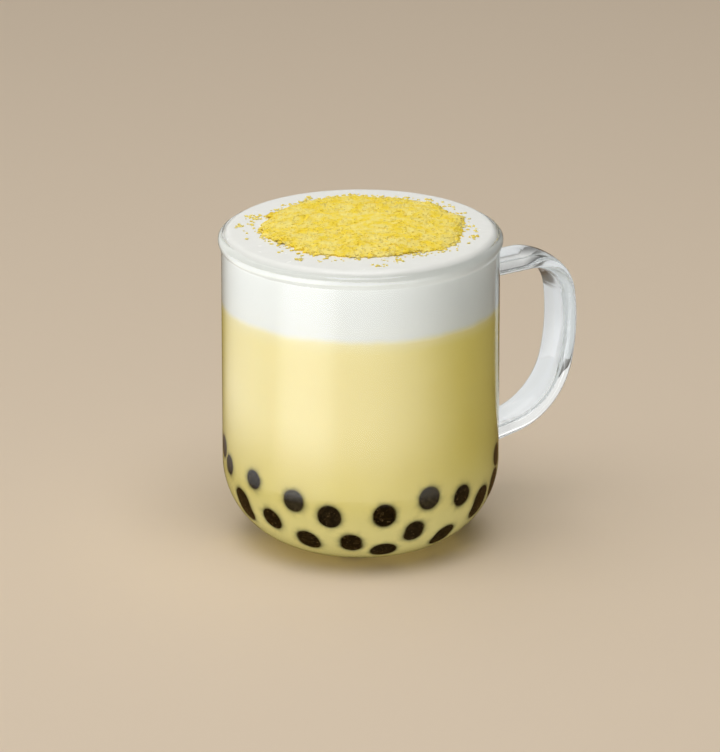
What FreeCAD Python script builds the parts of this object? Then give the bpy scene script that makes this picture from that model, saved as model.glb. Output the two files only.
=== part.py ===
"""A glass mug of sweet potato latte: the mug with its fused strap handle, the latte, the milk foam and
the heap of cake crumbs on top.

Frame: +Z up, with the origin on the mug's axis at the plane it stands on. The handle points along +X.
All sizes are in millimetres and all angles in degrees.
"""

import FreeCAD, Part
import math
import os

V = FreeCAD.Vector
CENTRE = V(0, 0, 0)
ACROSS = V(0, 1, 0)
UP = V(0, 0, 1)

# Mug body
MUG_HEIGHT = 97.6
BODY_RADIUS = 42.5
WALL = 2.0
BASE_THICKNESS = 3.2
HEEL_RADIUS = 26.0
HEEL_THICKENING = 1.7

# Rounded bead that the fire polish leaves round the rim
BEAD_HEIGHT = 4.4
BEAD_PROUD = 0.95
BEAD_INSIDE_PROUD = 0.3
BEAD_CREASE_RADIUS = 0.8

# Hollow pushed up under the base, inside the flat ring that the mug stands on
FOOT_RING_WIDTH = 4.0
PUSH_UP_DEPTH = 0.8

# Strap handle: a flattened glass rod whose centre line is straight runs and arcs that meet smoothly
STRAP_WIDTH = 15.0
STRAP_THICKNESS = 5.4
STRAP_FACE_RADIUS = 30.5
HANDLE_BELOW_RIM = 17.8
ARM_RISE = 1.8
ARM_LENGTH = 15.1
SHOULDER_RADIUS = 13.7
SHOULDER_TURN = 83.5
BACK_RADIUS = 62.3
BACK_TURN = 21.1
LOWER_RADIUS = 24.0
LOWER_TURN = 65.4
ROOT_FILLET = 2.2

# Latte, and the foam that clings to the rim's crown and bulges over it. The foam leaves the crown at an
# angle round it, counted from outwards, and its edge starts out this steep before it rounds over.
LATTE_BELOW_RIM = 21.6
FOAM_HOLD_ANGLE = 100.0
FOAM_EDGE_STEEPNESS = 65.0
FOAM_EDGE_RADIUS = 2.3
FOAM_RISE = 2.1

# Crumbs, strewn a little further one way than the other; a wave is its count, height and turn
CRUMBS_FROM_GLASS = 8.8
CRUMBS_STRETCH = 0.9
CRUMBS_LONG_WAY = -30.0
CRUMBS_EDGE_THICKNESS = 1.1
CRUMBS_THICKNESS = 2.6
CRUMBS_EDGE_WAVES = ((1, 1.2, -30.0), (5, 0.7, 40.0), (8, 0.5, 200.0), (13, 0.3, 95.0))
CRUMBS_EDGE_POINTS = 72
CRUMBS_SWELL_LENGTH = 17.0
CRUMBS_SWELL = 0.25
CRUMBS_TOP_CELLS = 12

# Where an edge is tried against two skins, and how near it must lie to count as on them
EDGE_TRIALS = (0.1, 0.5, 0.9)
ON_SKIN = 0.01

# Worked out from the sizes above
INSIDE_RADIUS = BODY_RADIUS - WALL
CROWN_RADIUS = (WALL + BEAD_PROUD + BEAD_INSIDE_PROUD) / 2
CROWN_LEVEL = MUG_HEIGHT - CROWN_RADIUS
BEAD_FOOT = MUG_HEIGHT - BEAD_HEIGHT
LATTE_LEVEL = MUG_HEIGHT - LATTE_BELOW_RIM
NECK_RADIUS = INSIDE_RADIUS - BEAD_INSIDE_PROUD
FOAM_TOP = MUG_HEIGHT + FOAM_RISE
CRUMBS_REACH = NECK_RADIUS - CRUMBS_FROM_GLASS


def at(radius, level):
    """A point of the XZ plane, on the +X side."""
    return V(radius, 0, level)


def ray(angle):
    """The unit vector of the XZ plane at an angle from +X towards +Z."""
    angle = math.radians(angle)
    return at(math.cos(angle), math.sin(angle))


def line(start, end):
    return Part.LineSegment(start, end).toShape()


def arc(start, middle, end):
    return Part.Arc(start, middle, end).toShape()


def arc_about(centre, radius, first, last):
    """An arc in the XZ plane from one angle to another."""
    middle = (first + last) / 2
    return arc(*(centre + ray(angle) * radius for angle in (first, middle, last)))


def turned(edges):
    """The solid of revolution of a closed profile, with its seam on the side away from the handle."""
    face = Part.Face(Part.Wire(Part.__sortEdges__(edges)))
    return face.revolve(CENTRE, UP, 360).rotated(CENTRE, UP, 180)


def outer_outline():
    """The outside of the mug below its bead, from the axis out to the wall."""
    heel_centre = at(BODY_RADIUS - HEEL_RADIUS, HEEL_RADIUS)
    push_up_reach = heel_centre.x - FOOT_RING_WIDTH
    push_up_radius = (push_up_reach ** 2 + PUSH_UP_DEPTH ** 2) / (2 * PUSH_UP_DEPTH)
    half_angle = math.degrees(math.asin(push_up_reach / push_up_radius))
    return [
        arc_about(at(0, PUSH_UP_DEPTH - push_up_radius), push_up_radius, 90, 90 - half_angle),
        line(at(push_up_reach, 0), at(heel_centre.x, 0)),
        arc_about(heel_centre, HEEL_RADIUS, -90, 0),
        line(at(BODY_RADIUS, HEEL_RADIUS), at(BODY_RADIUS, BEAD_FOOT)),
    ]


def inner_outline(top, grow=0.0):
    """The inside of the mug, from a level of its wall down to the axis, grown into the glass."""
    radius = INSIDE_RADIUS + grow
    floor = BASE_THICKNESS - grow
    heel = HEEL_RADIUS - HEEL_THICKENING + grow
    heel_centre = at(radius - heel, floor + heel)
    return [
        line(at(radius, top), at(radius, heel_centre.z)),
        arc_about(heel_centre, heel, 0, -90),
        line(at(heel_centre.x, floor), at(0, floor)),
    ]


def bead_flank(wall, proud):
    """The crease and the swell of the bead, from the wall's radius up to the crown.

    proud is how far the bead stands out from the wall: less than nothing on the inside.
    """
    side = math.copysign(1, proud)
    rise = CROWN_LEVEL - BEAD_FOOT
    lean = 2 * math.atan2(abs(proud), rise)
    swell_radius = rise / math.sin(lean) - BEAD_CREASE_RADIUS
    tilt = side * math.degrees(lean)
    wall_side = 90 + side * 90
    crease_centre = at(wall + side * BEAD_CREASE_RADIUS, BEAD_FOOT)
    swell_centre = at(wall + proud - side * swell_radius, CROWN_LEVEL)
    return [
        arc_about(crease_centre, BEAD_CREASE_RADIUS, wall_side, wall_side - tilt),
        arc_about(swell_centre, swell_radius, 180 - wall_side - tilt, 180 - wall_side),
    ]


def crown(first, last):
    """The rim's crown, from one angle round it to another."""
    return arc_about(at(NECK_RADIUS + CROWN_RADIUS, CROWN_LEVEL), CROWN_RADIUS, first, last)


def mug_body():
    rim = [crown(0, 180)]
    rim += bead_flank(BODY_RADIUS, BEAD_PROUD)
    rim += bead_flank(INSIDE_RADIUS, -BEAD_INSIDE_PROUD)
    middle = [line(at(0, BASE_THICKNESS), at(0, PUSH_UP_DEPTH))]
    return turned(outer_outline() + rim + inner_outline(BEAD_FOOT) + middle)


def inside(top, grow=0.0):
    """What fills the mug up to a level, grown into the glass."""
    lid = line(at(0, top), at(INSIDE_RADIUS + grow, top))
    middle = line(at(0, BASE_THICKNESS - grow), at(0, top))
    return turned([lid, middle] + inner_outline(top, grow))


def strap_section(centre, heading):
    """The strap's flattened oval, square to its centre line: two crowned faces and two round edges."""
    half = STRAP_THICKNESS / 2
    spare = 2 * STRAP_FACE_RADIUS * half - half ** 2 - STRAP_WIDTH ** 2 / 4
    edge_radius = spare / (2 * STRAP_FACE_RADIUS - STRAP_WIDTH)
    reach = STRAP_WIDTH / 2 - edge_radius
    lean = math.asin(reach / (STRAP_FACE_RADIUS - edge_radius))
    outward = ray(heading + 90)

    def corner(side, face):
        across = side * (reach + edge_radius * math.sin(lean))
        return centre + ACROSS * across + outward * (face * edge_radius * math.cos(lean))

    def face(side):
        return arc(corner(-side, side), centre + outward * (side * half), corner(side, side))

    def edge(side):
        return arc(corner(side, side), centre + ACROSS * (side * STRAP_WIDTH / 2), corner(side, -side))

    return Part.Wire([face(1), edge(1), face(-1), edge(-1)])


def strap():
    """The handle, from inside the upper root round to the lower one, ended in the middle of the wall."""
    start = at(BODY_RADIUS - WALL, MUG_HEIGHT - HANDLE_BELOW_RIM)
    place = start + ray(ARM_RISE) * (WALL + ARM_LENGTH)
    path = [line(start, place)]
    heading = ARM_RISE
    bends = ((SHOULDER_RADIUS, SHOULDER_TURN), (BACK_RADIUS, BACK_TURN), (LOWER_RADIUS, LOWER_TURN))
    for radius, turn in bends:
        centre = place + ray(heading - 90) * radius
        path.append(arc_about(centre, radius, heading + 90, heading + 90 - turn))
        heading -= turn
        place = centre + ray(heading + 90) * radius
    past_wall = place.x - (BODY_RADIUS - HEEL_RADIUS)
    path.append(line(place, place + ray(heading) * (past_wall / -ray(heading).x)))
    swept = Part.Wire(path).makePipeShell([strap_section(start, ARM_RISE)], True, True)
    return swept.cut(inside(MUG_HEIGHT, WALL / 2))


def shared_edges(shape, first, second):
    """The edges of a shape that lie on the skins of two solids."""
    skins = [Part.Shell(solid.Faces) for solid in (first, second)]

    def on_both(point):
        return all(skin.distToShape(Part.Vertex(point))[0] < ON_SKIN for skin in skins)

    def shared(edge):
        first_end, last_end = edge.ParameterRange
        return all(on_both(edge.valueAt(first_end + share * (last_end - first_end)))
                   for share in EDGE_TRIALS)

    return [edge for edge in shape.Edges if shared(edge)]


def glass_mug():
    """The body with the strap fused on, its two roots flared by a fillet."""
    body = mug_body()
    handle = strap()
    mug = body.fuse(handle).removeSplitter()
    return mug.makeFillet(ROOT_FILLET, shared_edges(mug, body, handle))


def latte():
    return inside(LATTE_LEVEL)


def foam_edge():
    """The centre of the foam's rounded edge, and the angle round it where it leaves the crown."""
    leaving = 90 - FOAM_EDGE_STEEPNESS
    hold = crown(FOAM_HOLD_ANGLE, 180).Vertexes[0].Point
    return hold - ray(leaving) * FOAM_EDGE_RADIUS, leaving


def foam_dome():
    """The centre and radius of the foam's dome, and the lean of its slope where its edge rounds over."""
    edge_centre, _ = foam_edge()
    rise = FOAM_TOP - edge_centre.z - FOAM_EDGE_RADIUS
    lean = 2 * math.atan2(rise, edge_centre.x)
    radius = FOAM_EDGE_RADIUS + edge_centre.x / math.sin(lean)
    return at(0, FOAM_TOP - radius), radius, math.degrees(lean)


def milk_foam():
    edge_centre, leaving = foam_edge()
    dome_centre, dome_radius, lean = foam_dome()
    top = [
        arc_about(edge_centre, FOAM_EDGE_RADIUS, leaving, 90 - lean),
        arc_about(dome_centre, dome_radius, 90 - lean, 90),
    ]
    below = [
        line(at(0, FOAM_TOP), at(0, LATTE_LEVEL)),
        line(at(0, LATTE_LEVEL), at(INSIDE_RADIUS, LATTE_LEVEL)),
        line(at(INSIDE_RADIUS, LATTE_LEVEL), at(INSIDE_RADIUS, BEAD_FOOT)),
    ]
    rim = bead_flank(INSIDE_RADIUS, -BEAD_INSIDE_PROUD) + [crown(FOAM_HOLD_ANGLE, 180)]
    return turned(top + below + rim)


def crumbs_reach(angle):
    """How far the crumbs lie from the axis in one direction."""
    reach = CRUMBS_REACH + CRUMBS_STRETCH * math.cos(2 * math.radians(angle - CRUMBS_LONG_WAY))
    for count, height, turn in CRUMBS_EDGE_WAVES:
        reach += height * math.cos(count * math.radians(angle) - math.radians(turn))
    return reach


def crumbs_thickness(x, y):
    """How thick the crumbs lie at a place: thinner towards the edge, in low swells."""
    share = math.hypot(x, y) / CRUMBS_REACH
    heaped = (CRUMBS_THICKNESS - CRUMBS_EDGE_THICKNESS) * (1 - share ** 3)
    swell = math.sin(2 * math.pi * x / CRUMBS_SWELL_LENGTH) * math.cos(2 * math.pi * y / CRUMBS_SWELL_LENGTH)
    return CRUMBS_EDGE_THICKNESS + heaped + CRUMBS_SWELL * swell


def crumb_heap():
    """One solid out to the crumbs' uneven outline, lying on the foam's dome."""
    edge_points = []
    for step in range(CRUMBS_EDGE_POINTS):
        angle = 360 * step / CRUMBS_EDGE_POINTS
        outward = V(math.cos(math.radians(angle)), math.sin(math.radians(angle)), 0)
        edge_points.append(outward * crumbs_reach(angle) + UP * MUG_HEIGHT)
    outline = Part.BSplineCurve()
    outline.interpolate(Points=edge_points, PeriodicFlag=True)
    past_top = UP * (FOAM_RISE + 2 * CRUMBS_THICKNESS)
    column = Part.Face(Part.Wire(outline.toShape())).extrude(past_top)

    dome_centre, dome_radius, _ = foam_dome()
    places = [NECK_RADIUS * (2 * step / CRUMBS_TOP_CELLS - 1) for step in range(CRUMBS_TOP_CELLS + 1)]
    top = Part.BSplineSurface()
    top.interpolate([
        [V(x, y, dome_centre.z + math.sqrt(dome_radius ** 2 - x ** 2 - y ** 2) + crumbs_thickness(x, y))
         for y in places]
        for x in places
    ])
    below_top = top.toShape().extrude(past_top * -1)
    return column.common(below_top).cut(milk_foam()).Solids[0]


def save(name, shape):
    shape.exportStep(os.path.join("parts", name + ".step"))
    print(name, len(shape.Solids), "solid", shape.isValid(), round(shape.Volume / 1000, 2), "ml")


os.makedirs("parts", exist_ok=True)
for build in (glass_mug, latte, milk_foam, crumb_heap):
    save(build.__name__, build())
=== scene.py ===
"""A glass mug of sweet potato latte: tapioca pearls at the bottom, milk foam on the latte and yellow cake
crumbs strewn over the foam.

Sizes are in metres. The mug stands at the origin with its handle along +X.
"""
import math
import random

import bmesh
import bpy
import numpy as np
from mathutils import Matrix, Vector, noise
from mathutils.bvhtree import BVHTree


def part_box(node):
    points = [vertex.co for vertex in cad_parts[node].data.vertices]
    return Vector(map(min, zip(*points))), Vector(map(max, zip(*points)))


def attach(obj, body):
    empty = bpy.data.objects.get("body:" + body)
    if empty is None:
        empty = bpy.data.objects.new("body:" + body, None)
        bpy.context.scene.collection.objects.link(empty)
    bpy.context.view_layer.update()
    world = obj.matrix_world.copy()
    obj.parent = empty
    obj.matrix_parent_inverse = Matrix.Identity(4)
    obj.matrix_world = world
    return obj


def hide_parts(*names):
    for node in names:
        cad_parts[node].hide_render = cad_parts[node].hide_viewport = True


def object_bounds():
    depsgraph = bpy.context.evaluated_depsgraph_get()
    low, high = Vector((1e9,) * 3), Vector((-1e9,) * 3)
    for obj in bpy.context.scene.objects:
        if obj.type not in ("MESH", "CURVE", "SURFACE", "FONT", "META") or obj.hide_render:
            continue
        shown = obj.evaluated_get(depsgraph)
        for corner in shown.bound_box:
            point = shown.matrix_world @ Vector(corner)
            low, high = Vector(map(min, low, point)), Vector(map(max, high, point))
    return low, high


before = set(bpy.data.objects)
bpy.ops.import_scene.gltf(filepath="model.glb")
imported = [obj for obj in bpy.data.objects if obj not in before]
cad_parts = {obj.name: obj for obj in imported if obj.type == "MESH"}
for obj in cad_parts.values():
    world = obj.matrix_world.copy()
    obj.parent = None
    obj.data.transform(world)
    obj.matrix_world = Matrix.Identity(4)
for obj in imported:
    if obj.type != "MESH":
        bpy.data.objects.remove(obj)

CAD_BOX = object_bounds()
MM = 0.001
CENTRE = Vector((0, 0, 0))
UP = Vector((0, 0, 1))
MESH_TURN = Vector((0, -1, 0))
CRISP_CORNER = math.radians(50)
ROUND_STEPS = 180
SAME_PLACE = 1e-7
NO_LENGTH = 1e-8
OVER_ALL = 0.2

# Where the contents lie
LATTE_LOW, LATTE_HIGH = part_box("latte")
FOAM_LOW, FOAM_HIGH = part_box("milk_foam")
INSIDE_RADIUS = LATTE_HIGH.x
FLOOR_LEVEL = LATTE_LOW.z
LATTE_LEVEL = LATTE_HIGH.z
FOAM_TOP = FOAM_HIGH.z

# Shape of the inside and of the rim that the boxes don't give
INNER_HEEL = 24.3 * MM
BEAD_FOOT = 93.2 * MM
NECK_RADIUS = 40.2 * MM
NECK_STEPS = 4
CROWN_RADIUS = 1.625 * MM
CROWN_LEVEL = 95.975 * MM
FOAM_HOLD_ANGLE = 100
FOAM_LEAVES = 25
FOAM_EDGE_RADIUS = 2.3 * MM
INTO_GLASS = 0.12 * MM
CONTACT = 0.02 * MM

# Pearls that show from the front: angle and height where they press on the glass, width of the dark
# spot, how much longer it is up the glass than across, and how much milk lies over it
PEARL_RADIUS = 4.2 * MM
FRONT_PEARLS = (
    (158, 31.0, 6.4, 0.6, 0.1), (167, 27.3, 5.4, 0.4, 0.0), (188, 27.3, 5.8, 0.0, 0.0),
    (177, 17.0, 7.0, 3.2, 0.0), (196, 15.9, 6.4, 0.6, 0.0), (210, 24.0, 6.5, 0.2, 0.6),
    (226, 20.2, 7.0, 0.4, 0.1), (213, 10.8, 6.9, 1.2, 0.0), (235, 11.0, 6.3, 1.6, 0.0),
    (250, 20.7, 6.8, 0.6, 0.0), (252, 7.9, 7.6, 0.2, 0.1), (265, 14.2, 5.9, 1.6, 0.1),
    (270, 24.8, 6.8, 0.2, 0.6), (288, 22.7, 6.4, 0.0, 0.1), (285, 10.1, 6.8, 1.8, 0.1),
    (304, 17.4, 7.0, 3.2, 0.0), (317.5, 20.6, 6.6, 1.4, 0.0), (320, 28.6, 6.4, 0.4, 0.1),
)

# Pearls that don't show from the front, some over the floor and the others round the back
MORE_PEARLS = 46
MOST_TRIES = 6000
SHARE_OVER_FLOOR = 0.55
BACK_ANGLES = (-36, 152)
LOWEST_PEARL = 6 * MM
HIGHEST_PEARL = 30 * MM
PEARL_SPACING = 8.9 * MM

# The close core of the crumb heap: how far it lies under the heap's top, how rough it is, how far its
# foot is in the foam, and how many cells it has across
CORE_DROP = 0.3 * MM
CORE_RELIEF = 0.2 * MM
CORE_FOOT = 0.6 * MM
CORE_CELLS = 190

# Crumbs by size: how many there are, their least, greatest and usual width in millimetres, how much of
# the width is sunk in the heap, and how far they stay inside its outline. The reach and the way over
# the foam are shares of a crumb's width too, and towards its edge the heap thins by up to THINS_BY
FINE_CRUMBS = (4200, (0.5, 1.2, 0.75), 0.42, 0.0)
MIDDLING_CRUMBS = (1300, (1.0, 2.0, 1.3), 0.45, 0.6 * MM)
COARSE_CRUMBS = (150, (1.9, 3.3, 2.3), 0.5, 1.6 * MM)
LOOSE_CRUMBS = 110
CRUMB_SHAPES = 8
CRUMB_SQUASH = np.array([1.15, 1.15, 0.5])
CRUMB_REACH = 0.75
LIES_OVER_FOAM = 0.1
THIN_EDGE = 5 * MM
THINS_BY = 1.1 * MM

# The middle and the spread of the angles where more crumbs fell past the heap's outline, and the angle
# and the way from the axis where a few lie by themselves or stick together
FAR_DRIFT = (62, 34)
STRAYS = (
    (130, 36.2 * MM), (134, 34.4 * MM), (147, 37.0 * MM), (208, 35.2 * MM), (260, 33.4 * MM),
    (250.5, 37.6 * MM), (317, 35.4 * MM),
)
CRUMBS_IN_GROUP = 9
BARE_RIM = 2.5 * MM
TOASTED_CLUMP = (126.5, 29.3 * MM)

SEED = 7


# ---------------------------------------------------------------- mesh helpers

def ray(degrees):
    """The direction at an angle from +X towards +Z, in the plane where profiles are drawn."""
    return Vector((math.cos(math.radians(degrees)), 0, math.sin(math.radians(degrees))))


def finished(bm, name, material):
    """Makes the mesh a smooth object of the scene, with its place in its mesh and its corners crisp."""
    for face in bm.faces:
        face.smooth = True
    for edge in bm.edges:
        edge.smooth = edge.calc_face_angle(0) < CRISP_CORNER
    mesh = bpy.data.meshes.new(name)
    bm.to_mesh(mesh)
    bm.free()
    return shown(mesh, name, material)


def shown(mesh, name, material):
    """Puts a mesh in the scene under its name and gives it its material."""
    piece = bpy.data.objects.new(name, mesh)
    bpy.context.scene.collection.objects.link(piece)
    mesh.materials.append(material)
    return piece


def in_place(piece, node):
    """Rides the piece on the mug in the place of its plain solid."""
    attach(piece, "root")
    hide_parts(node)


def drawn_to(bm, start, end, steps):
    """Draws a straight run of a profile and gives its last vertex."""
    first = start.co.copy()
    for step in range(1, steps + 1):
        made = bmesh.ops.extrude_vert_indiv(bm, verts=[start])
        start = made["verts"][0]
        start.co = first.lerp(end, step / steps)
    return start


def swung(bm, start, centre, degrees, steps):
    """Draws an arc of a profile in the XZ plane and gives its last vertex."""
    made = bmesh.ops.spin(
        bm, geom=[start], cent=centre, axis=MESH_TURN, angle=math.radians(degrees), steps=steps,
    )
    return next(part for part in made["geom_last"] if isinstance(part, bmesh.types.BMVert))


def turned(bm):
    """Turns the drawn profile once round the mug's axis into a closed skin."""
    bmesh.ops.remove_doubles(bm, verts=bm.verts, dist=SAME_PLACE)
    bmesh.ops.spin(
        bm, geom=bm.verts[:] + bm.edges[:], cent=CENTRE, axis=UP, angle=math.tau, steps=ROUND_STEPS,
        use_merge=True,
    )
    bmesh.ops.remove_doubles(bm, verts=bm.verts, dist=SAME_PLACE)
    bmesh.ops.dissolve_degenerate(bm, edges=bm.edges, dist=NO_LENGTH)
    bmesh.ops.recalc_face_normals(bm, faces=bm.faces)


# ------------------------------------------------------------ material helpers

def srgb(red, green, blue):
    """A colour given as it looks on a screen, from 0 to 255."""
    def linear(value):
        value /= 255
        return value / 12.92 if value <= 0.04045 else ((value + 0.055) / 1.055) ** 2.4
    return (linear(red), linear(green), linear(blue), 1)


class Nodes:
    """Adds nodes to a tree and links them as they are named."""

    def __init__(self, tree):
        self.tree = tree

    def add(self, kind, settings=(), **inputs):
        """A new node with its settings and inputs."""
        node = self.tree.nodes.new(kind)
        for name, value in dict(settings).items():
            setattr(node, name, value)
        self.fill(node, **inputs)
        return node

    def fill(self, node, **inputs):
        """Gives a node's inputs their values or links; an underscore stands for a space."""
        for name, value in inputs.items():
            self.put(node.inputs[name.replace("_", " ")], value)

    def put(self, socket, value):
        """Links a socket, or sets its value on the socket itself."""
        if isinstance(value, bpy.types.NodeSocket):
            self.tree.links.new(value, socket)
        else:
            socket.default_value = value

    def math(self, operation, *values):
        node = self.add("ShaderNodeMath", {"operation": operation})
        for socket, value in zip(node.inputs, values):
            self.put(socket, value)
        return node.outputs[0]

    def vector_math(self, operation, *values):
        node = self.add("ShaderNodeVectorMath", {"operation": operation})
        for socket, value in zip(node.inputs, values):
            self.put(socket, value)
        return node.outputs["Value" if operation in ("LENGTH", "DISTANCE", "DOT_PRODUCT") else "Vector"]

    def blend(self, share, first, second):
        """The first colour where the share is 0, the second where it is 1."""
        node = self.add("ShaderNodeMix", {"data_type": "RGBA"})
        for place, value in ((0, share), (6, first), (7, second)):
            self.put(node.inputs[place], value)
        return node.outputs[2]

    def step(self, value, low, high, to_low=0.0, to_high=1.0):
        """Rises smoothly from one value to another between two levels."""
        node = self.add("ShaderNodeMapRange", {"interpolation_type": "SMOOTHSTEP"}, Value=value,
                        From_Min=low, From_Max=high, To_Min=to_low, To_Max=to_high)
        return node.outputs["Result"]

    def noise(self, place, size, detail, roughness=0.5):
        """Soft random patches of about this size, from 0 to 1."""
        node = self.add("ShaderNodeTexNoise", Vector=place, Scale=1 / size, Detail=detail,
                        Roughness=roughness)
        return node.outputs["Fac"]

    def bump(self, strength, depth, height):
        """Normals for a fine relief."""
        node = self.add("ShaderNodeBump", Strength=strength, Distance=depth, Height=height)
        return node.outputs["Normal"]

    def attribute(self, name, kind="Fac"):
        """A value that the mesh carries."""
        return self.add("ShaderNodeAttribute", {"attribute_name": name}).outputs[kind]

    def place(self):
        """The place on the object, in metres from the origin."""
        return self.add("ShaderNodeTexCoord").outputs["Object"]

    def height(self, place):
        return self.add("ShaderNodeSeparateXYZ", Vector=place).outputs["Z"]


def material(name):
    """An empty material, its nodes and its Principled shader."""
    made = bpy.data.materials.new(name)
    made.use_nodes = True
    nodes = Nodes(made.node_tree)
    shader = made.node_tree.nodes["Principled BSDF"]
    return made, nodes, shader


def group(name, inputs, outputs):
    """An empty node group with named sockets."""
    made = bpy.data.node_groups.new(name, "ShaderNodeTree")
    for direction, sockets in (("INPUT", inputs), ("OUTPUT", outputs)):
        for label, kind in sockets:
            made.interface.new_socket(name=label, in_out=direction, socket_type="NodeSocket" + kind)
    nodes = Nodes(made)
    return made, nodes, nodes.add("NodeGroupInput"), nodes.add("NodeGroupOutput")


def milk_line_group():
    """How far a place is over the soft, slightly wavy line where the foam floats on the latte."""
    made, nodes, given, out = group(
        "milk line", [("Place", "Vector"), ("Level", "Float"), ("Softness", "Float")], [("Over", "Float")],
    )
    place = given.outputs["Place"]
    wave = nodes.math("MULTIPLY_ADD", nodes.noise(place, 9 * MM, 3.0, 0.55), 1.6 * MM, -0.8 * MM)
    height = nodes.math("ADD", nodes.height(place), wave)
    level, softness = given.outputs["Level"], given.outputs["Softness"]
    over = nodes.step(height, nodes.math("SUBTRACT", level, softness), nodes.math("ADD", level, softness))
    nodes.put(out.inputs["Over"], over)
    return made


# ------------------------------------------------------------------- materials

# Colours. The pairs are the two ends of a soft cloudiness
GLASS_TINT = (0.97, 0.985, 0.98, 1)
GLASS_SHADOW = (0.84, 0.85, 0.845, 1)
FOAM_WHITE = srgb(234, 234, 228)
# Painted shade: the foam's sides below the bead are painted darker than its top.
FOAM_PAINTED_SHADE_BEHIND_GLASS = srgb(220, 220, 214)
FOAM_CLOUDS = (srgb(241, 241, 234), srgb(246, 246, 241))
LATTE_YELLOW = srgb(231, 214, 132)
LATTE_CLOUDS = (srgb(227, 208, 114), srgb(232, 215, 129))
# Painted light: the latte is painted paler from the first height down to the second, standing in for light
# on the round heel.
LATTE_PAINTED_LIGHT_AT_BOTTOM = srgb(252, 236, 158)
LATTE_PAINTED_LIGHT_FROM = 38 * MM
LATTE_PAINTED_LIGHT_TO = 12 * MM
LATTE_OVER_PEARL = srgb(44, 38, 22)
PEARL_DARK = srgb(14, 9, 2)
PEARL_BROWN = srgb(42, 30, 14)
PEARL_FLECK = srgb(96, 78, 52)
PEARL_MILKY = srgb(82, 75, 58)
CAKE_PALE = srgb(255, 234, 138)
CAKE_DEEP = srgb(255, 221, 64)
CAKE_TOASTED = srgb(252, 202, 54)
CAKE_GRAIN = 0.45 * MM


def milk_line(nodes, place, lines):
    """The foam's share of the colour: a short blend at the line and a long thin tail under it."""
    shares = []
    for level, softness, weight in ((0.4 * MM, 1.5 * MM, 0.75), (-1.5 * MM, 3.0 * MM, 0.25)):
        line = nodes.add("ShaderNodeGroup", {"node_tree": lines}, Place=place, Level=LATTE_LEVEL + level,
                         Softness=softness)
        shares.append(nodes.math("MULTIPLY", line.outputs["Over"], weight))
    return nodes.math("ADD", *shares)


def clear_glass_material():
    """Clear glass. Lamps reach the drink straight through it, a little dimmed."""
    made, nodes, shader = material("clear glass")
    ripple = nodes.bump(0.05, 1 * MM, nodes.noise(nodes.place(), 22 * MM, 1.0))
    nodes.fill(shader, Base_Color=GLASS_TINT, Roughness=0.0, IOR=1.47, Transmission_Weight=1.0,
               Normal=ripple)
    clear = nodes.add("ShaderNodeBsdfTransparent", Color=GLASS_SHADOW)
    light = nodes.add("ShaderNodeLightPath")
    mix = nodes.add("ShaderNodeMixShader", Fac=light.outputs["Is Shadow Ray"])
    nodes.put(mix.inputs[1], shader.outputs["BSDF"])
    nodes.put(mix.inputs[2], clear.outputs["BSDF"])
    nodes.put(made.node_tree.nodes["Material Output"].inputs["Surface"], mix.outputs["Shader"])
    return made


def latte_material(lines):
    """Opaque milky yellow, painted paler towards the bottom as painted light on the heel, and darkened
    through its last fraction of a millimetre by the pearls behind it.
    """
    made, nodes, shader = material("latte")
    place = nodes.place()
    cloud = nodes.noise(place, 14 * MM, 3.0)
    # Painted light: paler towards the bottom, for light on the heel.
    low = nodes.step(nodes.height(place), LATTE_PAINTED_LIGHT_FROM, LATTE_PAINTED_LIGHT_TO)
    yellow = nodes.blend(low, nodes.blend(cloud, *LATTE_CLOUDS), LATTE_PAINTED_LIGHT_AT_BOTTOM)
    to_centre = nodes.vector_math("DISTANCE", place, nodes.attribute("pearl_centre", "Vector"))
    off_pearl = nodes.math("SUBTRACT", to_centre, nodes.attribute("pearl_size"))
    patchy = nodes.math("MULTIPLY_ADD", nodes.noise(place, 2.2 * MM, 2.0), 0.8 * MM, 0.14 * MM)
    faded = nodes.math("DIVIDE", nodes.math("MAXIMUM", off_pearl, 0.0), patchy)
    shade = nodes.math("MULTIPLY", nodes.math("EXPONENT", nodes.math("MULTIPLY", faded, -1.0)), 0.94)
    stained = nodes.blend(shade, yellow, LATTE_OVER_PEARL)
    colour = nodes.blend(milk_line(nodes, place, lines), stained, FOAM_WHITE)
    nodes.fill(shader, Base_Color=colour, Roughness=0.9, Specular_IOR_Level=0.0)
    return made


def milk_foam_material(lines):
    """Close white foam: matt against the glass, smooth and wet where it domes over the rim. Its sides below
    the bead carry painted shade, the rim and top painted light.
    """
    made, nodes, shader = material("milk foam")
    place = nodes.place()
    clouds = nodes.blend(nodes.noise(place, 6 * MM, 3.0), *FOAM_CLOUDS)
    height = nodes.height(place)
    open_top = nodes.step(height, CROWN_LEVEL, CROWN_LEVEL + 1 * MM)
    # Painted light and shade: darker sides below the bead's foot, paler in the rim and on top.
    painted_light_in_rim = nodes.step(height, BEAD_FOOT - 1 * MM, BEAD_FOOT + 1 * MM)
    white = nodes.blend(painted_light_in_rim, FOAM_PAINTED_SHADE_BEHIND_GLASS, clouds)
    colour = nodes.blend(milk_line(nodes, place, lines), LATTE_YELLOW, white)
    wet = nodes.math("MULTIPLY_ADD", nodes.noise(place, 3 * MM, 2.0), 0.16, 0.16)
    drier = nodes.math("MULTIPLY", nodes.math("SUBTRACT", 1.0, open_top), 0.6)
    swell = nodes.bump(0.3, 0.5 * MM, nodes.noise(place, 8 * MM, 2.0))
    nodes.fill(shader, Base_Color=colour, Roughness=nodes.math("ADD", wet, drier),
               Specular_IOR_Level=0.4, Normal=swell)
    return made


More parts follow.
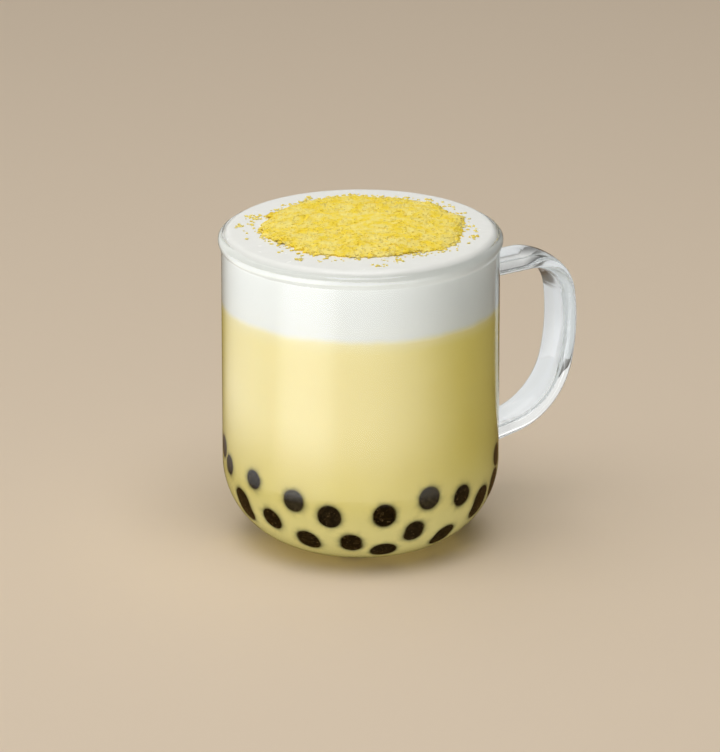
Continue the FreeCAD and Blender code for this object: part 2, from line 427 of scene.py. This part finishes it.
def tapioca_material():
    """Dark brown cooked tapioca, with small paler flecks and a film of milk on some pearls."""
    made, nodes, shader = material("tapioca")
    place = nodes.place()
    mottle = nodes.step(nodes.noise(place, 1.6 * MM, 3.0, 0.6), 0.4, 0.7)
    flecks = nodes.step(nodes.noise(place, 0.8 * MM, 3.0, 0.6), 0.6, 0.7)
    brown = nodes.blend(mottle, PEARL_DARK, PEARL_BROWN)
    brown = nodes.blend(flecks, brown, PEARL_FLECK)
    uneven = nodes.math("MULTIPLY_ADD", mottle, 0.25, 0.55)
    film = nodes.math("MULTIPLY", nodes.attribute("milk_film"), uneven)
    colour = nodes.blend(film, brown, PEARL_MILKY)
    nodes.fill(shader, Base_Color=colour, Roughness=0.6, Specular_IOR_Level=0.0)
    return made


def cake_material():
    """Yellow sponge: every crumb has its own tint, in patches from pale to deep yellow."""
    made, nodes, shader = material("cake crumbs")
    place = nodes.place()
    patch = nodes.step(nodes.noise(place, 3.8 * MM, 4.0, 0.65), 0.3, 0.7, -0.42, 0.42)
    own = nodes.math("MULTIPLY_ADD", nodes.attribute("tint"), 0.35, 0.32)
    depth = nodes.math("ADD", own, patch)
    yellow = nodes.blend(nodes.step(depth, 0.0, 1.0), CAKE_PALE, CAKE_DEEP)
    yellow = nodes.blend(nodes.step(depth, 0.95, 1.3), yellow, CAKE_TOASTED)
    crumbly = nodes.bump(0.3, 0.3 * CAKE_GRAIN, nodes.noise(place, CAKE_GRAIN, 3.0, 0.6))
    nodes.fill(shader, Base_Color=yellow, Roughness=0.8, Specular_IOR_Level=0.2, Normal=crumbly,
               Subsurface_Weight=0.3, Subsurface_Radius=(1.0, 1.0, 1.0), Subsurface_Scale=0.3 * MM)
    return made


# ----------------------------------------------------------------------- drink

def latte_piece(pearls, lines):
    """The latte, out to just inside the glass. Each face knows the pearl nearest to it."""
    bm = bmesh.new()
    radius, floor, heel = INSIDE_RADIUS + INTO_GLASS, FLOOR_LEVEL - INTO_GLASS, INNER_HEEL + INTO_GLASS
    edge = bm.verts.new((0, 0, floor))
    edge = drawn_to(bm, edge, Vector((radius - heel, 0, floor)), 10)
    edge = swung(bm, edge, Vector((radius - heel, 0, floor + heel)), 90, 30)
    edge = drawn_to(bm, edge, Vector((radius, 0, LATTE_LEVEL)), 34)
    drawn_to(bm, edge, Vector((0, 0, LATTE_LEVEL)), 16)
    turned(bm)
    piece = finished(bm, "latte_drink", latte_material(lines))
    note_nearest_pearls(piece.data, pearls)
    return piece


def note_nearest_pearls(mesh, pearls):
    """Gives each corner the size of its face's nearest pearl and the nearest point of that pearl's core."""
    centres = np.array([pearl["centre"][:] for pearl in pearls])
    cores = np.array([(pearl["along"] * pearl["half"])[:] for pearl in pearls])
    sizes = np.array([pearl["size"] for pearl in pearls])
    lengths = np.maximum((cores ** 2).sum(axis=1), 1e-12)

    def core_points(places, which):
        share = ((places - centres[which]) * cores[which]).sum(axis=-1) / lengths[which]
        return centres[which] + np.clip(share, -1, 1)[..., None] * cores[which]

    middles = np.empty(len(mesh.polygons) * 3)
    counts = np.empty(len(mesh.polygons), dtype=np.int32)
    corners = np.empty(len(mesh.loops), dtype=np.int32)
    places = np.empty(len(mesh.vertices) * 3)
    mesh.polygons.foreach_get("center", middles)
    mesh.polygons.foreach_get("loop_total", counts)
    mesh.loops.foreach_get("vertex_index", corners)
    mesh.vertices.foreach_get("co", places)
    middles = middles.reshape(-1, 1, 3)
    every = np.arange(len(pearls))
    gaps = np.linalg.norm(middles - core_points(middles, every[None]), axis=2) - sizes
    nearest = np.repeat(gaps.argmin(axis=1), counts)
    near = core_points(places.reshape(-1, 3)[corners], nearest)
    centre = mesh.attributes.new("pearl_centre", "FLOAT_VECTOR", "CORNER")
    centre.data.foreach_set("vector", near.astype(np.float32).ravel())
    size = mesh.attributes.new("pearl_size", "FLOAT", "CORNER")
    size.data.foreach_set("value", sizes[nearest].astype(np.float32))


def foam_piece(lines):
    """The foam, from the latte up the glass, over the inner side of the rim's crown and up in a low dome."""
    bm = bmesh.new()
    radius = INSIDE_RADIUS + INTO_GLASS
    neck = NECK_RADIUS + INTO_GLASS
    crown = Vector((NECK_RADIUS + CROWN_RADIUS, 0, CROWN_LEVEL))
    hold = crown + ray(FOAM_HOLD_ANGLE) * CROWN_RADIUS
    shoulder = hold - ray(FOAM_LEAVES) * FOAM_EDGE_RADIUS
    rise = FOAM_TOP - shoulder.z - FOAM_EDGE_RADIUS
    lean = 2 * math.atan2(rise, shoulder.x)
    dome_radius = FOAM_EDGE_RADIUS + shoulder.x / math.sin(lean)
    edge = bm.verts.new((0, 0, LATTE_LEVEL))
    edge = drawn_to(bm, edge, Vector((radius, 0, LATTE_LEVEL)), 16)
    edge = drawn_to(bm, edge, Vector((radius, 0, BEAD_FOOT)), 9)
    for step in range(1, NECK_STEPS + 1):
        share = step / NECK_STEPS
        pinch = share * share * (3 - 2 * share) * (neck - radius)
        height = BEAD_FOOT + share * (CROWN_LEVEL - BEAD_FOOT)
        edge = drawn_to(bm, edge, Vector((radius + pinch, 0, height)), 1)
    edge = swung(bm, edge, crown, FOAM_HOLD_ANGLE - 180, 8)
    edge = drawn_to(bm, edge, hold, 1)
    edge = swung(bm, edge, shoulder, 90 - math.degrees(lean) - FOAM_LEAVES, 12)
    swung(bm, edge, Vector((0, 0, FOAM_TOP - dome_radius)), math.degrees(lean), 30)
    turned(bm)
    return finished(bm, "foam_top", milk_foam_material(lines))


# ---------------------------------------------------------------------- pearls

def glass_near(place):
    """How far a place is inside the mug's inner skin, and the direction to that skin."""
    out = Vector((place.x, place.y, 0))
    radius = out.length
    out = out.normalized() if radius > 0 else Vector((1, 0, 0))
    flat = INSIDE_RADIUS - INNER_HEEL
    level = place.z - FLOOR_LEVEL
    if level >= INNER_HEEL:
        return INSIDE_RADIUS - radius, out
    if radius <= flat:
        return level, -UP
    reach = out * (radius - flat) + UP * (level - INNER_HEEL)
    return INNER_HEEL - reach.length, reach.normalized()


def skin_place(angle, height):
    """The place on the inner skin at an angle round the mug and a height over the table."""
    out = Vector((math.cos(angle), math.sin(angle), 0))
    level = height - FLOOR_LEVEL
    if level >= INNER_HEEL:
        return out * INSIDE_RADIUS + UP * height
    reach = math.sqrt(max(INNER_HEEL ** 2 - (INNER_HEEL - level) ** 2, 0))
    return out * (INSIDE_RADIUS - INNER_HEEL + reach) + UP * height


def pearl_at(touching, size, spot, longer, film):
    """A pearl of this size that presses a spot of this width flat on the glass, drawn out up the glass."""
    outward = glass_near(touching)[1]
    across = UP.cross(outward)
    along = outward.cross(across).normalized() if across.length > 0.01 else Vector((1, 0, 0))
    centre = touching - outward * math.sqrt(size ** 2 - (spot / 2) ** 2)
    return {"centre": centre, "size": size, "along": along, "half": longer / 2, "film": film}


def clear_of(pearl, other):
    """Whether two pearls lie far enough apart, drawn out as they are."""
    room = PEARL_SPACING + (2 * pearl["half"] + other["half"]) / 2
    return (pearl["centre"] - other["centre"]).length > room


def pearl_places():
    """The pearls that show from the front, then more round the back and over the floor."""
    draw = random.Random(SEED)
    pearls = []
    for angle, height, spot, longer, film in FRONT_PEARLS:
        size = PEARL_RADIUS * draw.uniform(0.97, 1.05)
        touching = skin_place(math.radians(angle), height * MM)
        pearls.append(pearl_at(touching, size, spot * MM, longer * MM, film))
    tries = 0
    wanted = len(FRONT_PEARLS) + MORE_PEARLS
    while len(pearls) < wanted and tries < MOST_TRIES:
        tries += 1
        if draw.random() < SHARE_OVER_FLOOR:
            reach = math.sqrt(draw.random()) * (INSIDE_RADIUS - INNER_HEEL + 2 * MM)
            angle = draw.uniform(0, math.tau)
            place = Vector((math.cos(angle) * reach, math.sin(angle) * reach, FLOOR_LEVEL))
        else:
            angle = math.radians(draw.uniform(*BACK_ANGLES))
            height = LOWEST_PEARL + (HIGHEST_PEARL - LOWEST_PEARL) * draw.random() ** 1.4
            place = skin_place(angle, height)
        size = PEARL_RADIUS * draw.uniform(0.93, 1.05)
        spot, longer = draw.uniform(5.6, 7.3) * MM, draw.uniform(0, 1.2) * MM
        pearl = pearl_at(place, size, spot, longer, draw.choice((0.0, 0.0, 0.1, 0.7)))
        if all(clear_of(pearl, other) for other in pearls):
            pearls.append(pearl)
    return pearls


def pearls_piece(pearls):
    """Soft pearls, each a little uneven and pressed flat where it lies on the glass."""
    bm = bmesh.new()
    film_layer = bm.verts.layers.float.new("milk_film")
    for number, pearl in enumerate(pearls):
        centre, size = pearl["centre"], pearl["size"]
        made = bmesh.ops.create_icosphere(bm, subdivisions=4, radius=size, matrix=Matrix.Translation(centre))
        shift = Vector((number * 3.1, 0, 0))
        for vert in made["verts"]:
            out = (vert.co - centre) / size
            end = max(-1.0, min(1.0, 4 * out.dot(pearl["along"])))
            lump = 1 + 0.035 * noise.noise(out * 1.1 + shift)
            vert.co = centre + out * size * lump + pearl["along"] * pearl["half"] * end
            depth, outward = glass_near(vert.co)
            past = -(INTO_GLASS + CONTACT) - depth
            if past > 0:
                vert.co -= outward * past
            vert[film_layer] = pearl["film"]
    return finished(bm, "tapioca_pearls", tapioca_material())


# ---------------------------------------------------------------------- crumbs

class Heap:
    """Where the crumbs may lie: the outline and top of the heap, and the foam under it."""

    def __init__(self):
        self.skins = [self.skin_of(name) for name in ("crumb_heap", "milk_foam")]
        self.sectors = 90
        self.reach = [0.0] * self.sectors
        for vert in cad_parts["crumb_heap"].data.vertices:
            sector = math.floor(self.turn_of(vert.co.x, vert.co.y)) % self.sectors
            self.reach[sector] = max(self.reach[sector], math.hypot(vert.co.x, vert.co.y))

    @staticmethod
    def skin_of(name):
        """A CAD solid's skin, ready to be met from above."""
        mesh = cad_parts[name].data
        return BVHTree.FromPolygons([v.co for v in mesh.vertices], [p.vertices for p in mesh.polygons])

    def turn_of(self, x, y):
        """The angle of a place round the axis, counted in sectors."""
        return math.atan2(y, x) / math.tau * self.sectors

    def reach_at(self, x, y):
        """How far the heap reaches from the axis on the side of a place."""
        turn = self.turn_of(x, y) - 0.5
        low = math.floor(turn)
        share = turn - low
        return (1 - share) * self.reach[low % self.sectors] + share * self.reach[(low + 1) % self.sectors]

    def thinning(self, x, y):
        """How much lower the crumbs lie near the edge, where they thin out."""
        edge = min(1.0, max(0.0, (self.reach_at(x, y) - math.hypot(x, y)) / THIN_EDGE))
        return THINS_BY * (1 - edge) ** 2

    def top(self, x, y):
        """The heap's top, or the foam's where there is no heap."""
        return self.level_on(self.skins, x, y)

    def foam(self, x, y):
        """The foam's top, under the heap too."""
        return self.level_on(self.skins[1:], x, y)

    @staticmethod
    def level_on(skins, x, y):
        """The height of the first of these skins that lies over or under a place."""
        for skin in skins:
            hit = skin.ray_cast(Vector((x, y, OVER_ALL)), -UP)[0]
            if hit:
                return hit.z
        return FOAM_LOW.z


def past_ragged_edge(heap, place):
    """Whether a place is past the core's ragged edge, which runs a little inside the heap's outline."""
    inside = (1.4 - 1.6 * noise.noise(place / (1.7 * MM))) * MM
    return math.hypot(place.x, place.y) > heap.reach_at(place.x, place.y) - inside


def crumb_core(heap, cake):
    """The close mass of crumbs under the loose ones: a relief finer than they are."""
    bm = bmesh.new()
    bmesh.ops.create_grid(bm, x_segments=CORE_CELLS, y_segments=CORE_CELLS, size=max(heap.reach))
    outside = [vert for vert in bm.verts if past_ragged_edge(heap, vert.co)]
    bmesh.ops.delete(bm, geom=outside, context="VERTS")
    loose = [vert for vert in bm.verts if not vert.link_faces]
    bmesh.ops.delete(bm, geom=loose, context="VERTS")
    for vert in bm.verts:
        x, y = vert.co.x, vert.co.y
        coarse = noise.noise(Vector((x, y, 0)) / (1.3 * MM))
        grain = coarse + 0.6 * noise.noise(Vector((x, y, 3)) / (0.6 * MM))
        vert.co.z = heap.top(x, y) - CORE_DROP - heap.thinning(x, y) + CORE_RELIEF * grain
    rim = [edge for edge in bm.edges if edge.is_boundary]
    made = bmesh.ops.extrude_edge_only(bm, edges=rim)
    low = [part for part in made["geom"] if isinstance(part, bmesh.types.BMVert)]
    for vert in low:
        vert.co.z = heap.foam(vert.co.x, vert.co.y) - CORE_FOOT
    bmesh.ops.holes_fill(bm, edges=[edge for edge in bm.edges if edge.is_boundary], sides=0)
    bmesh.ops.recalc_face_normals(bm, faces=bm.faces)
    tint = bm.verts.layers.float.new("tint")
    for vert in bm.verts:
        vert[tint] = 0.75 + 0.25 * noise.noise(vert.co / (2 * MM))
    return finished(bm, "crumb_core", cake)


def any_way(draw):
    """A random vector, up to one long on each axis."""
    return Vector((draw.uniform(-1, 1), draw.uniform(-1, 1), draw.uniform(-1, 1)))


def crumb_shapes(angular, draw):
    """A few broken, lumpy crumb shapes about one across, as vertices and triangles."""
    shapes = []
    for _ in range(CRUMB_SHAPES):
        bm = bmesh.new()
        if angular:
            bmesh.ops.create_cube(bm, size=0.8)
            bmesh.ops.subdivide_edges(bm, edges=bm.edges[:], cuts=1, use_grid_fill=True)
            for vert in bm.verts:
                vert.co = vert.co.lerp(vert.co.normalized() * 0.5, 0.7)
        else:
            bmesh.ops.create_icosphere(bm, subdivisions=1, radius=0.5)
        for vert in bm.verts:
            vert.co *= draw.uniform(0.72, 1.25)
            vert.co += any_way(draw) * 0.07
        bmesh.ops.triangulate(bm, faces=bm.faces[:])
        bm.verts.ensure_lookup_table()
        places = np.array([vert.co[:] for vert in bm.verts])
        corners = np.array([[vert.index for vert in face.verts] for face in bm.faces])
        shapes.append((places, corners))
        bm.free()
    return shapes


def joined_crumbs(name, shapes, crumbs, cake, draw):
    """One mesh of many crumbs. Each crumb is its place, its width and its tint."""
    places, corners, tints, start = [], [], [], 0
    for place, width, tint in crumbs:
        shape, triangles = shapes[draw.randrange(len(shapes))]
        turn = Matrix.Rotation(draw.uniform(0, math.tau), 3, any_way(draw).normalized())
        stretch = np.array([draw.uniform(0.85, 1.3), draw.uniform(0.8, 1.1), draw.uniform(0.7, 1.0)])
        placed = (shape * stretch * width) @ np.array(turn).T * CRUMB_SQUASH + np.array(place)
        places.append(placed)
        corners.append(triangles + start)
        tints.append(np.full(len(shape), tint))
        start += len(shape)
    mesh = bpy.data.meshes.new(name)
    mesh.from_pydata(np.concatenate(places).tolist(), [], np.concatenate(corners).tolist())
    mesh.attributes.new("tint", "FLOAT", "POINT").data.foreach_set("value", np.concatenate(tints))
    mesh.polygons.foreach_set("use_smooth", [True] * len(mesh.polygons))
    return shown(mesh, name, cake)


def strewn(heap, draw, count, widths, sunk, margin):
    """Crumbs over the whole heap, out to a ragged edge."""
    crumbs = []
    highest = CAD_BOX[1].z
    while len(crumbs) < count:
        angle = draw.uniform(0, math.tau)
        far = math.sqrt(draw.random())
        x, y = math.cos(angle), math.sin(angle)
        reach = heap.reach_at(x, y) - margin
        radius = far * reach
        x, y = x * radius, y * radius
        wide_bay = noise.noise(Vector((x, y, 0)) / (4.5 * MM))
        bay = wide_bay + 0.6 * noise.noise(Vector((x, y, 1)) / (1.8 * MM))
        bare = (1.1 + 4.4 * bay) * MM
        if reach - radius < bare:
            continue
        width = draw.triangular(*widths) * MM
        top = heap.top(x, y) - heap.thinning(x, y)
        level = min(top - sunk * width + draw.uniform(-0.12, 0.08) * MM, highest - CRUMB_REACH * width)
        level = max(level, heap.foam(x, y) + LIES_OVER_FOAM * width)
        crumbs.append(((x, y, level), width, draw.random()))
    return crumbs


def loose_crumbs(heap, draw):
    """Single crumbs that fell outside the heap, some of them in small groups, lying on the foam."""
    spots = []
    while len(spots) < LOOSE_CRUMBS:
        angle = draw.uniform(0, math.tau)
        reach = heap.reach_at(math.cos(angle), math.sin(angle))
        spots.append((angle, reach + abs(draw.gauss(0, 1.6)) * MM))
    for _ in range(LOOSE_CRUMBS):
        angle = math.radians(draw.gauss(*FAR_DRIFT))
        reach = heap.reach_at(math.cos(angle), math.sin(angle))
        spots.append((angle, reach + draw.uniform(-0.5, 3.2) * MM))
    for angle, radius in STRAYS:
        for _ in range(CRUMBS_IN_GROUP):
            spots.append((math.radians(angle) + draw.gauss(0, 0.03), radius + draw.gauss(0, 0.8) * MM))
    crumbs = []
    for angle, radius in spots:
        if radius > INSIDE_RADIUS - BARE_RIM:
            continue
        x, y = math.cos(angle) * radius, math.sin(angle) * radius
        width = draw.triangular(0.4, 1.5, 0.8) * MM
        level = heap.foam(x, y) + LIES_OVER_FOAM * width
        crumbs.append(((x, y, level), width, draw.uniform(-0.5, 0.5)))
    return crumbs


def toasted_clump(heap, draw):
    """A few darker crumbs that stuck together."""
    angle, radius = TOASTED_CLUMP
    x, y = math.cos(math.radians(angle)) * radius, math.sin(math.radians(angle)) * radius
    crumbs = []
    for _ in range(CRUMBS_IN_GROUP):
        place = Vector((x + draw.gauss(0, 0.8) * MM, y + draw.gauss(0, 0.8) * MM, 0))
        width = draw.uniform(1.6, 2.6) * MM
        level = heap.top(place.x, place.y) - 0.45 * width
        crumbs.append(((place.x, place.y, level), width, draw.uniform(1.5, 2.2)))
    return crumbs


def crumb_pieces():
    """The heap of crumbs: its close core, then fine, middling, coarse and loose crumbs."""
    draw = random.Random(SEED)
    heap = Heap()
    cake = cake_material()
    small = crumb_shapes(False, draw)
    large = crumb_shapes(True, draw)
    fine = strewn(heap, draw, *FINE_CRUMBS)
    middling = strewn(heap, draw, *MIDDLING_CRUMBS)
    coarse = strewn(heap, draw, *COARSE_CRUMBS) + toasted_clump(heap, draw)
    return [
        crumb_core(heap, cake),
        joined_crumbs("crumbs_fine", small, fine, cake, draw),
        joined_crumbs("crumbs_middling", large, middling, cake, draw),
        joined_crumbs("crumbs_coarse", large, coarse, cake, draw),
        joined_crumbs("crumbs_loose", small, loose_crumbs(heap, draw), cake, draw),
    ]


# --------------------------------------------------------------- camera, light

# The camera's turn round the mug and its rise in degrees, how far away it is, and its lens in millimetres
CAMERA_TURN = -30.4
CAMERA_RISE = 19.3
CAMERA_AWAY = 1.9
CAMERA_LENS = 296.5
AIM = Vector((0, 0, 51.5 * MM))
AIM_SIDE = -0.18 * MM

# Each lamp's turn from the camera, its rise over the table, how far away, how wide and how strong it is
LAMPS_AIM = Vector((0, 0, 50 * MM))
LAMPS = (
    ("key softbox", 62, 61, 1.3, 0.9, 3.1),
    ("front softbox", -8, 75, 1.5, 1.0, 12.3),
    ("low softbox", 15, -58, 1.2, 0.8, 3.2),
    ("back softbox", 150, 60, 1.4, 1.0, 1.7),
)

# The floor as the camera sees it and as glass shows it: plainly in a painted paler tone, after a mirroring
# in a painted pale tone, and far off in a painted dark tone. The last tone is painted bounce light, the
# light that it throws back
FLOOR_HALF = 4
FLOOR_LOWERED = 0.05 * MM
FLOOR_SEEN = srgb(224, 206, 183)
FLOOR_PAINTED_PALE_IN_GLASS = srgb(250, 252, 254)
FLOOR_PAINTED_PALE_AFTER_MIRROR = srgb(226, 230, 231)
FLOOR_PAINTED_DARK_FAR_OFF = srgb(150, 149, 145)
FLOOR_PAINTED_BOUNCE_LIGHT = srgb(250, 249, 247)

# The card that only glass mirrors: its brown is a painted dark reflection, and its light a painted
# highlight.
CARD_HALF = 1.5
CARD_RAISED = 0.4 * MM
CARD_PAINTED_DARK_REFLECTION = srgb(120, 90, 52)
CARD_PAINTED_HIGHLIGHT = srgb(246, 248, 250)

ROOM_LIGHT = srgb(244, 243, 240)
ROOM_STRENGTH = 0.3
ROOM_MORE_WHEN_SEEN = 0.66
ROOM_DARKEST = 0.1


def from_camera(turn, rise):
    """A direction given by its turn to the camera's left and its rise over the table."""
    turn, rise = math.radians(CAMERA_TURN - turn), math.radians(rise)
    return Vector((math.sin(turn) * math.cos(rise), -math.cos(turn) * math.cos(rise), math.sin(rise)))


def camera():
    """The camera, near and a little above the mug, with a long lens."""
    lens = bpy.data.cameras.new("camera")
    lens.lens = CAMERA_LENS
    lens.sensor_width = 36
    lens.clip_end = 20
    back = from_camera(0, CAMERA_RISE)
    made = bpy.data.objects.new("camera", lens)
    made.location = AIM + from_camera(-90, 0) * AIM_SIDE + back * CAMERA_AWAY
    made.rotation_euler = back.to_track_quat("Z", "Y").to_euler()
    bpy.context.scene.collection.objects.link(made)
    bpy.context.scene.camera = made


def softbox(name, turn, rise, away, width, power):
    """A soft square lamp that faces the mug."""
    lamp = bpy.data.lights.new(name, "AREA")
    lamp.size = width
    lamp.energy = power
    towards = from_camera(turn, rise)
    made = bpy.data.objects.new(name, lamp)
    made.location = LAMPS_AIM + towards * away
    made.rotation_euler = towards.to_track_quat("Z", "Y").to_euler()
    made.visible_camera = False
    bpy.context.scene.collection.objects.link(made)


def level_sheet(half, height):
    """A square sheet round the mug's axis."""
    bm = bmesh.new()
    bmesh.ops.create_grid(bm, x_segments=1, y_segments=1, size=half, matrix=Matrix.Translation(UP * height))
    return bm


def floor_piece():
    """A plain pale floor that glass shows in a painted paler tone near the mug and a painted dark tone far
    off, that throws back painted bounce light, and that lets the low lamp's light past.
    """
    made, nodes, shader = material("floor")
    light = nodes.add("ShaderNodeLightPath").outputs
    # Painted reflection: glass shows the floor paler near the mug and dark far off.
    far = nodes.step(nodes.vector_math("LENGTH", nodes.place()), 0.3, 0.45)
    mirrored = nodes.math("MINIMUM", light["Glossy Depth"], 1.0)
    near_tone = nodes.blend(mirrored, FLOOR_PAINTED_PALE_IN_GLASS, FLOOR_PAINTED_PALE_AFTER_MIRROR)
    in_glass = nodes.blend(far, near_tone, FLOOR_PAINTED_DARK_FAR_OFF)
    colour = nodes.blend(light["Is Transmission Ray"], FLOOR_SEEN, in_glass)
    # Painted bounce light: the floor throws back more light than its own colour gives.
    colour = nodes.blend(light["Is Diffuse Ray"], colour, FLOOR_PAINTED_BOUNCE_LIGHT)
    nodes.fill(shader, Base_Color=colour, Roughness=1.0, Specular_IOR_Level=0.0)
    floor = finished(level_sheet(FLOOR_HALF, -FLOOR_LOWERED), "floor", made)
    floor.visible_shadow = False
    return floor


def sky():
    """A pale room that lights the mug a little from all round, darker towards its far right."""
    world = bpy.data.worlds.new("room")
    world.use_nodes = True
    bpy.context.scene.world = world
    nodes = Nodes(world.node_tree)
    background = world.node_tree.nodes["Background"]
    towards = nodes.add("ShaderNodeTexCoord").outputs["Generated"]
    far_right = nodes.vector_math("DOT_PRODUCT", towards, tuple(from_camera(-105, 12)))
    bright = nodes.step(far_right, 0.0, 0.85, 1.0, ROOM_DARKEST)
    light = nodes.add("ShaderNodeLightPath").outputs
    in_glass = nodes.math("MAXIMUM", light["Is Glossy Ray"], light["Is Transmission Ray"])
    seen = nodes.math("MAXIMUM", in_glass, light["Is Camera Ray"])
    level = nodes.math("MULTIPLY_ADD", seen, ROOM_MORE_WHEN_SEEN, ROOM_STRENGTH)
    strength = nodes.math("MULTIPLY", bright, level)
    nodes.fill(background, Color=ROOM_LIGHT, Strength=strength)


def painted_reflection_card():
    """A card just over the floor that only glass mirrors: a brown sheet of painted dark reflection, with a
    painted highlight glowing softly to the front left.
    """
    made, nodes, shader = material("painted reflection card")
    place = nodes.place()
    towards = nodes.vector_math("NORMALIZE", place)
    wide = nodes.vector_math("DOT_PRODUCT", towards, tuple(from_camera(33, 0)))
    narrow = nodes.vector_math("DOT_PRODUCT", towards, tuple(from_camera(42, 0)))
    # Painted highlight: the card glows only where the glass mirrors it, wide and soft with a narrower band.
    painted_highlight = nodes.math("ADD", nodes.step(wide, -0.55, 1.0, 0.0, 6.1), nodes.step(narrow, 0.87, 1.0, 0.0, 2.8))
    out = nodes.step(nodes.vector_math("LENGTH", place), 78 * MM, 180 * MM)
    nodes.fill(shader, Base_Color=CARD_PAINTED_DARK_REFLECTION, Roughness=0.9, Specular_IOR_Level=0.0,
               Emission_Color=CARD_PAINTED_HIGHLIGHT, Emission_Strength=nodes.math("MULTIPLY", painted_highlight, out))
    card = finished(level_sheet(CARD_HALF, CARD_RAISED), "painted_reflection_card", made)
    for light_kind in ("camera", "diffuse", "transmission", "shadow", "volume_scatter"):
        setattr(card, "visible_" + light_kind, False)
    return card


def let_light_run_on_in_glass(tracing):
    """Follows light further than usual, because it turns back many times inside the thick rim."""
    tracing.max_bounces = 24
    tracing.transmission_bounces = 16
    tracing.glossy_bounces = 16


def studio():
    """The camera, the lamps, the floor with its card and the room round them."""
    camera()
    for lamp in LAMPS:
        softbox(*lamp)
    floor_piece()
    painted_reflection_card()
    sky()
    bpy.context.scene.view_settings.view_transform = "Standard"
    let_light_run_on_in_glass(bpy.context.scene.cycles)


# -------------------------------------------------------------------- assembly

def drink():
    """The latte with its pearls, the foam and the crumbs."""
    lines = milk_line_group()
    pearls = pearl_places()
    in_place(latte_piece(pearls, lines), "latte")
    in_place(pearls_piece(pearls), "latte")
    in_place(foam_piece(lines), "milk_foam")
    for piece in crumb_pieces():
        in_place(piece, "crumb_heap")


def mug():
    """The glass mug keeps its CAD mesh."""
    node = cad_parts["glass_mug"]
    node.data.materials.clear()
    node.data.materials.append(clear_glass_material())


mug()
drink()
studio()
